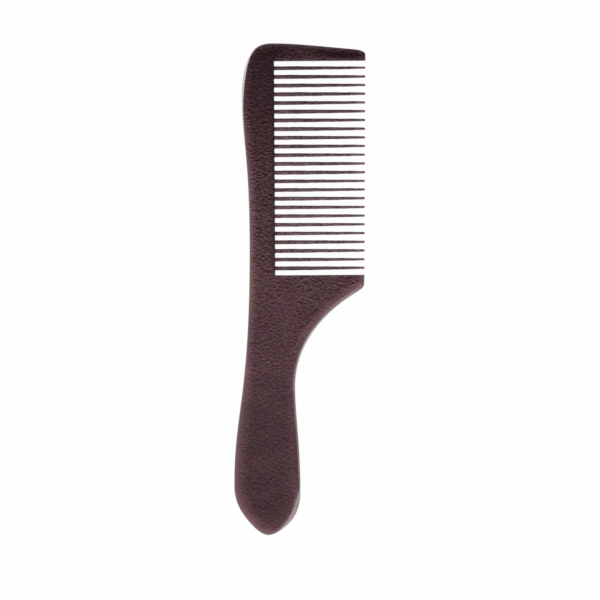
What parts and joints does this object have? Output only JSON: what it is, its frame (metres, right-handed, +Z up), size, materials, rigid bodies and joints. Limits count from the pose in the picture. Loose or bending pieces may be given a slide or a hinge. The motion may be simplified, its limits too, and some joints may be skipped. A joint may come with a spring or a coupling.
{
  "type": "wide tooth comb",
  "caption": "Flat wooden hair comb with a broad curved handle, a top guard and one row of long, widely spaced, tapered teeth let into its spine.",
  "frame": {"origin": "on the surface the comb lies on, under the middle of its outline", "axes": "+Y along the comb from the handle to the head, +X across it towards the tooth tips, +Z up out of the front face"},
  "size_m": [0.0544, 0.2, 0.008],
  "materials": {
    "body_wood": "matt oiled hardwood, dark purple-brown, with a fine pebbled grain",
    "tooth_wood": "the same hardwood, sanded a little smoother and a shade lighter"
  },
  "bodies": {
    "root": {"comb_body": "body_wood", "tooth_01": "tooth_wood", "tooth_02": "tooth_wood", "tooth_03": "tooth_wood", "tooth_04": "tooth_wood", "tooth_05": "tooth_wood", "tooth_06": "tooth_wood", "tooth_07": "tooth_wood", "tooth_08": "tooth_wood", "tooth_09": "tooth_wood", "tooth_10": "tooth_wood", "tooth_11": "tooth_wood", "tooth_12": "tooth_wood", "tooth_13": "tooth_wood", "tooth_14": "tooth_wood", "tooth_15": "tooth_wood", "tooth_16": "tooth_wood", "tooth_17": "tooth_wood", "tooth_18": "tooth_wood", "tooth_19": "tooth_wood", "tooth_20": "tooth_wood", "tooth_21": "tooth_wood", "tooth_22": "tooth_wood", "tooth_23": "tooth_wood", "tooth_24": "tooth_wood"}
  },
  "joints": []
}
